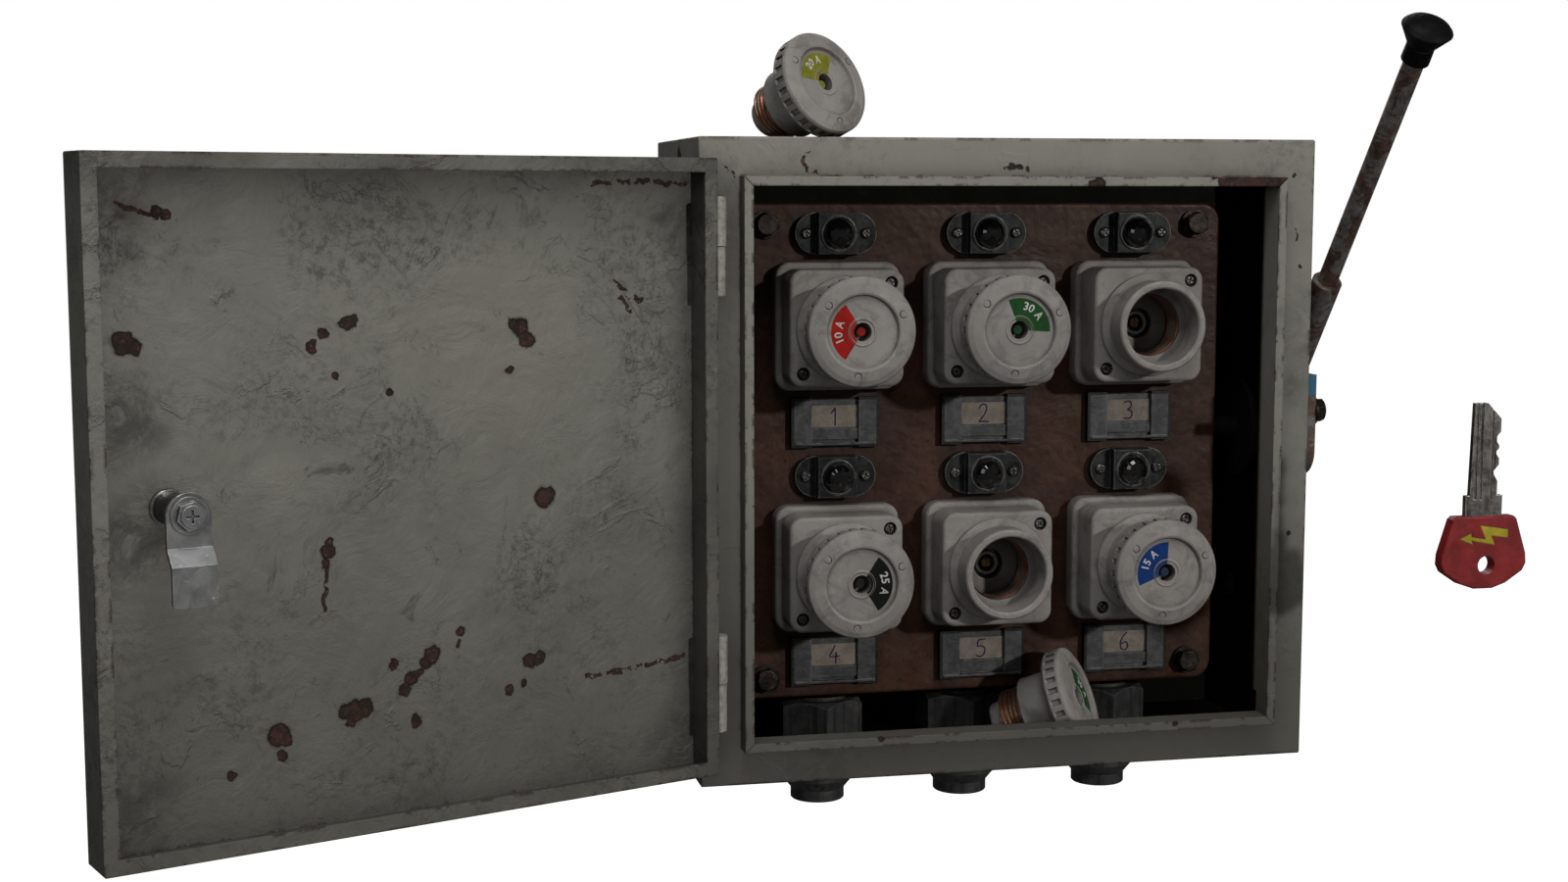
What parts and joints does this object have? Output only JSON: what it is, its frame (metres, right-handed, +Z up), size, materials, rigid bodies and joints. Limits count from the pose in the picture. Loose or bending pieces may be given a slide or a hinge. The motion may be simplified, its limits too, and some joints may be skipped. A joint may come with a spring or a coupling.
{
  "type": "fuse box panel",
  "caption": "Wall cabinet with a hinged lockable door, screw-in fuses in ceramic sockets with lamps and labels on an insulating panel, a side switch lever and cable glands.",
  "frame": {"origin": "centre of the cabinet's back (wall) face, which is the centre of the wall-bolt pattern", "axes": "+Y points into the wall, +Z up, +X to the right seen from the front; the door side faces -Y"},
  "size_m": [0.6219, 0.2319, 0.3847],
  "materials": {
    "cabinet_paint": "aged grey-green enamel with chips, grime and rust",
    "panel_board": "red-brown hammered insulating board, slight gloss",
    "ceramic_body": "worn off-white ceramic with grey stains",
    "cartridge_body": "off-white ceramic with a dark steel end contact",
    "copper_thread": "copper with green tarnish in the grooves",
    "contact_brass": "dull brass",
    "zinc_steel": "bright zinc plate with fine scratches",
    "old_steel": "dark tarnished steel",
    "rusty_steel": "heavily rusted steel with traces of grey paint",
    "plate_steel": "grey plate with a band of blue paint and rust",
    "knob_black": "black moulded knob, satin",
    "lamp_black": "black moulding, semi-gloss",
    "lamp_glass": "dark domed lens",
    "label_metal": "dark grey textured frame",
    "label_paper": "aged buff card",
    "gland_grey": "dark grey moulding",
    "key_red": "red moulded bow with a yellow arrow mark",
    "key_steel": "worn steel blade"
  },
  "bodies": {
    "cabinet_assembly": {"bolt_washers": "old_steel", "cabinet": "cabinet_paint", "centre_contacts": "contact_brass", "cover_screws": "old_steel", "gland_bodies": "gland_grey", "gland_nuts": "gland_grey", "hex_bolts": "old_steel", "hinge_frame_halves": "cabinet_paint", "label_cards": "label_paper", "label_frames": "label_metal", "lamp_bodies": "lamp_black", "lamp_lenses": "lamp_glass", "lamp_screws": "old_steel", "lever_plate": "plate_steel", "mounting_panel": "panel_board", "panel_standoffs": "old_steel", "socket_base_1": "ceramic_body", "socket_base_2": "ceramic_body", "socket_base_3": "ceramic_body", "socket_base_4": "ceramic_body", "socket_base_5": "ceramic_body", "socket_base_6": "ceramic_body", "socket_cover_1": "ceramic_body", "socket_cover_2": "ceramic_body", "socket_cover_3": "ceramic_body", "socket_cover_4": "ceramic_body", "socket_cover_5": "ceramic_body", "socket_cover_6": "ceramic_body", "socket_shells": "copper_thread"},
    "door": {"door_pan": "cabinet_paint", "hinge_door_halves": "cabinet_paint", "lock_housing": "zinc_steel", "lock_nut": "zinc_steel"},
    "cam_lock": {"lock_plug": "zinc_steel", "lock_cam": "zinc_steel", "cam_screw": "zinc_steel"},
    "lever": {"lever_shaft": "rusty_steel", "lever_socket": "rusty_steel", "lever_rod": "rusty_steel", "lever_knob": "knob_black"},
    "loose_key": {"key_bow": "key_red", "key_blade": "key_steel"},
    "loose_fuse_on_top": {"fuse_cap_on_top": "ceramic_body", "fuse_thread_on_top": "copper_thread", "fuse_cartridge_on_top": "cartridge_body"},
    "loose_fuse_on_floor": {"fuse_cap_on_floor": "ceramic_body", "fuse_thread_on_floor": "copper_thread", "fuse_cartridge_on_floor": "cartridge_body"},
    "fuse_1_cartridge": {"fuse_cartridge_1": "cartridge_body"},
    "fuse_1_cap": {"fuse_cap_1": "ceramic_body", "fuse_thread_1": "copper_thread"},
    "fuse_2_cartridge": {"fuse_cartridge_2": "cartridge_body"},
    "fuse_2_cap": {"fuse_cap_2": "ceramic_body", "fuse_thread_2": "copper_thread"},
    "fuse_4_cartridge": {"fuse_cartridge_4": "cartridge_body"},
    "fuse_4_cap": {"fuse_cap_4": "ceramic_body", "fuse_thread_4": "copper_thread"},
    "fuse_6_cartridge": {"fuse_cartridge_6": "cartridge_body"},
    "fuse_6_cap": {"fuse_cap_6": "ceramic_body", "fuse_thread_6": "copper_thread"}
  },
  "joints": [
    {"name": "door_hinge", "type": "hinge", "parent": "cabinet_assembly", "child": "door", "pos_m": [-0.14334, -0.1228, 0], "axis": [0, 0, 1], "range_deg": [0, 158.87]},
    {"name": "lock_turn", "type": "hinge", "parent": "door", "child": "cam_lock", "pos_m": [-0.37052, -0.22164, 0], "axis": [-0.3605, 0.9328, 0], "range_deg": [0, 90]},
    {"name": "lever_swing", "type": "hinge", "parent": "cabinet_assembly", "child": "lever", "pos_m": [0.1625, -0.045, 0.005], "axis": [1, 0, 0], "range_deg": [-40, 26]},
    {"name": "key_lift_off", "type": "slide", "parent": "cabinet_assembly", "child": "loose_key", "axis": [0, -1, 0], "range_m": [0, 0.05]},
    {"name": "top_fuse_lift_off", "type": "slide", "parent": "cabinet_assembly", "child": "loose_fuse_on_top", "axis": [0, 0, 1], "range_m": [0, 0.06]},
    {"name": "floor_fuse_lift_out", "type": "slide", "parent": "cabinet_assembly", "child": "loose_fuse_on_floor", "axis": [0, -0.1908, 0.9816], "range_m": [0, 0.005]},
    {"name": "fuse_1_out", "type": "slide", "parent": "cabinet_assembly", "child": "fuse_1_cartridge", "axis": [0, -1, 0], "range_m": [0, 0.0115]},
    {"name": "fuse_1_unscrew", "type": "hinge", "parent": "fuse_1_cartridge", "child": "fuse_1_cap", "pos_m": [-0.07466, -0.11, 0.0611], "axis": [0, -1, 0], "range_deg": [0, 1800]},
    {"name": "fuse_2_out", "type": "slide", "parent": "cabinet_assembly", "child": "fuse_2_cartridge", "axis": [0, -1, 0], "range_m": [0, 0.0115]},
    {"name": "fuse_2_unscrew", "type": "hinge", "parent": "fuse_2_cartridge", "child": "fuse_2_cap", "pos_m": [0.0008, -0.11, 0.0611], "axis": [0, -1, 0], "range_deg": [0, 1800]},
    {"name": "fuse_4_out", "type": "slide", "parent": "cabinet_assembly", "child": "fuse_4_cartridge", "axis": [0, -1, 0], "range_m": [0, 0.0115]},
    {"name": "fuse_4_unscrew", "type": "hinge", "parent": "fuse_4_cartridge", "child": "fuse_4_cap", "pos_m": [-0.07466, -0.11, -0.0563], "axis": [0, -1, 0], "range_deg": [0, 1800]},
    {"name": "fuse_6_out", "type": "slide", "parent": "cabinet_assembly", "child": "fuse_6_cartridge", "axis": [0, -1, 0], "range_m": [0, 0.0115]},
    {"name": "fuse_6_unscrew", "type": "hinge", "parent": "fuse_6_cartridge", "child": "fuse_6_cap", "pos_m": [0.07626, -0.11, -0.0563], "axis": [0, -1, 0], "range_deg": [0, 1800]}
  ],
  "couplings": [
    {"joint": "fuse_1_out", "follows": "fuse_1_unscrew", "m_per_rad": 0.00036606},
    {"joint": "fuse_2_out", "follows": "fuse_2_unscrew", "m_per_rad": 0.00036606},
    {"joint": "fuse_4_out", "follows": "fuse_4_unscrew", "m_per_rad": 0.00036606},
    {"joint": "fuse_6_out", "follows": "fuse_6_unscrew", "m_per_rad": 0.00036606}
  ]
}
